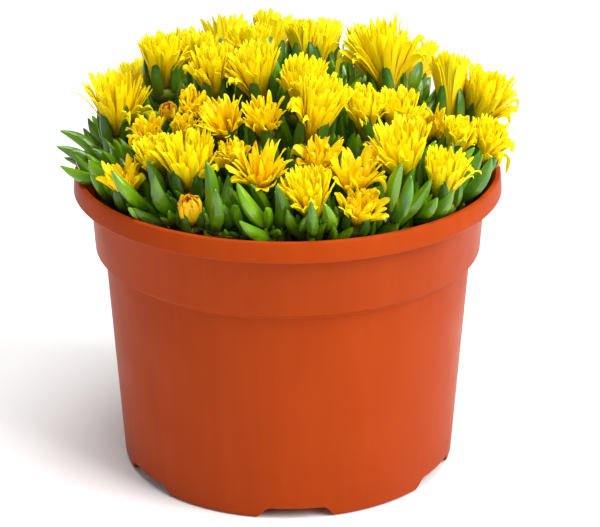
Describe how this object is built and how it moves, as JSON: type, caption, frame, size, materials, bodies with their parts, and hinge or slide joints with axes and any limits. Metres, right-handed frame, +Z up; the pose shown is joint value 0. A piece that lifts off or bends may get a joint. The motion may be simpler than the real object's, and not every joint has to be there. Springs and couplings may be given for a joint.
{
  "type": "potted ice plant",
  "caption": "Low cushion of fleshy keeled leaves and yellow many-petalled flowers, fresh, fading and in bud, in a round terracotta-coloured plastic nursery pot with a stepped collar",
  "frame": {"origin": "middle of the pot's foot, on the surface that it stands on", "axes": "+Z up, +X to the right and +Y away from a viewer who stands where the picture was taken"},
  "size_m": [0.1614, 0.1506, 0.158],
  "materials": {
    "terracotta_plastic": "semi-gloss moulded plastic with faint upright flow lines",
    "compost": "dull, crumbly, dark brown",
    "petal_yellow": "satin petals, paler at the foot and orange where they fade",
    "leaf_green": "smooth waxy skin with a soft sheen"
  },
  "bodies": {
    "root": {"pot": "terracotta_plastic", "soil": "compost", "bloom_01": "petal_yellow", "bloom_02": "petal_yellow", "bloom_03": "petal_yellow", "bloom_04": "petal_yellow", "bloom_05": "petal_yellow", "bloom_06": "petal_yellow", "bloom_07": "petal_yellow", "bloom_08": "petal_yellow", "bloom_09": "petal_yellow", "bloom_10": "petal_yellow", "bloom_11": "petal_yellow", "bloom_12": "petal_yellow", "bloom_13": "petal_yellow", "bloom_14": "petal_yellow", "bloom_15": "petal_yellow", "bloom_16": "petal_yellow", "bloom_17": "petal_yellow", "bloom_18": "petal_yellow", "bloom_19": "petal_yellow", "bloom_20": "petal_yellow", "bloom_21": "petal_yellow", "bloom_22": "petal_yellow", "bloom_23": "petal_yellow", "bloom_24": "petal_yellow", "bloom_25": "petal_yellow", "bloom_26": "petal_yellow", "bloom_27": "petal_yellow", "bloom_28": "petal_yellow", "bloom_29": "petal_yellow", "bloom_30": "petal_yellow", "bloom_31": "petal_yellow", "bloom_32": "petal_yellow", "bloom_33": "petal_yellow", "bloom_34": "petal_yellow", "bloom_35": "petal_yellow", "bloom_36": "petal_yellow", "bloom_37": "petal_yellow", "bloom_38": "petal_yellow", "bloom_39": "petal_yellow", "bloom_40": "petal_yellow", "bloom_41": "petal_yellow", "bloom_42": "petal_yellow", "bloom_43": "petal_yellow", "bloom_44": "petal_yellow", "bloom_45": "petal_yellow", "bloom_46": "petal_yellow", "bloom_47": "petal_yellow", "clump_01": "leaf_green", "clump_02": "leaf_green", "clump_03": "leaf_green", "clump_04": "leaf_green", "clump_05": "leaf_green", "clump_06": "leaf_green", "clump_07": "leaf_green", "clump_08": "leaf_green", "clump_09": "leaf_green"}
  },
  "joints": []
}
